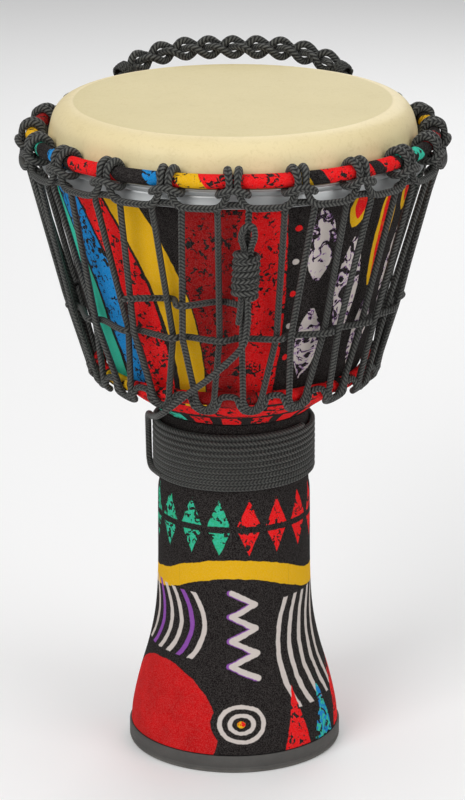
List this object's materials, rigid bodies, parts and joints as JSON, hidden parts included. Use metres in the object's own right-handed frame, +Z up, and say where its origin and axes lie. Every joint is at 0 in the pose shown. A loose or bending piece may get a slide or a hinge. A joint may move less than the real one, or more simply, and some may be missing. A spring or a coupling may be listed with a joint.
{
  "type": "rope-tuned goblet hand drum",
  "caption": "Goblet-shaped hand drum (djembe) with a cloth-covered plastic shell, synthetic head, rope rigging, wrapped throat and a plaited carrying handle.",
  "frame": {"origin": "on the drum's axis at the floor, under the foot ring", "axes": "+Z up the axis to the head, -Y the player's side, +Y the carrying handle, +X to the viewer's right"},
  "size_m": [0.3254, 0.3254, 0.523],
  "materials": {
    "shell_plastic": "black moulded PVC, satin inside",
    "bowl_cloth": "printed cotton, matte, glued to the bowl",
    "stem_cloth": "printed cotton, matte, glued to the stem",
    "ring_cloth": "printed cotton sleeve on a steel ring",
    "head_film": "tan synthetic head film, fine tooth",
    "hoop_alloy": "satin rolled aluminium",
    "black_rope": "braided polyester cord, charcoal black",
    "foot_rubber": "matte rubber foot ring"
  },
  "bodies": {
    "drum": {"shell": "shell_plastic", "bowl_fabric": "bowl_cloth", "stem_fabric": "stem_cloth", "foot_ring": "foot_rubber", "drumhead": "head_film", "head_hoop": "hoop_alloy", "crown_ring": "ring_cloth", "base_ring": "ring_cloth", "crown_cradle": "black_rope", "lacing": "black_rope", "base_cradle": "black_rope", "weave_low": "black_rope", "weave_high": "black_rope", "tie_coil": "black_rope", "tie_tail": "black_rope", "neck_wrap": "black_rope"},
    "handle": {"handle_whipping_left": "black_rope", "handle_whipping_right": "black_rope", "handle_eye_left": "black_rope", "handle_eye_right": "black_rope", "handle_strand_a": "black_rope", "handle_strand_b": "black_rope", "handle_strand_c": "black_rope"}
  },
  "joints": [
    {"name": "handle_swing", "type": "hinge", "parent": "drum", "child": "handle", "pos_m": [0, 0.10536, 0.4824], "axis": [1, 0, 0], "range_deg": [-2, 26]}
  ]
}
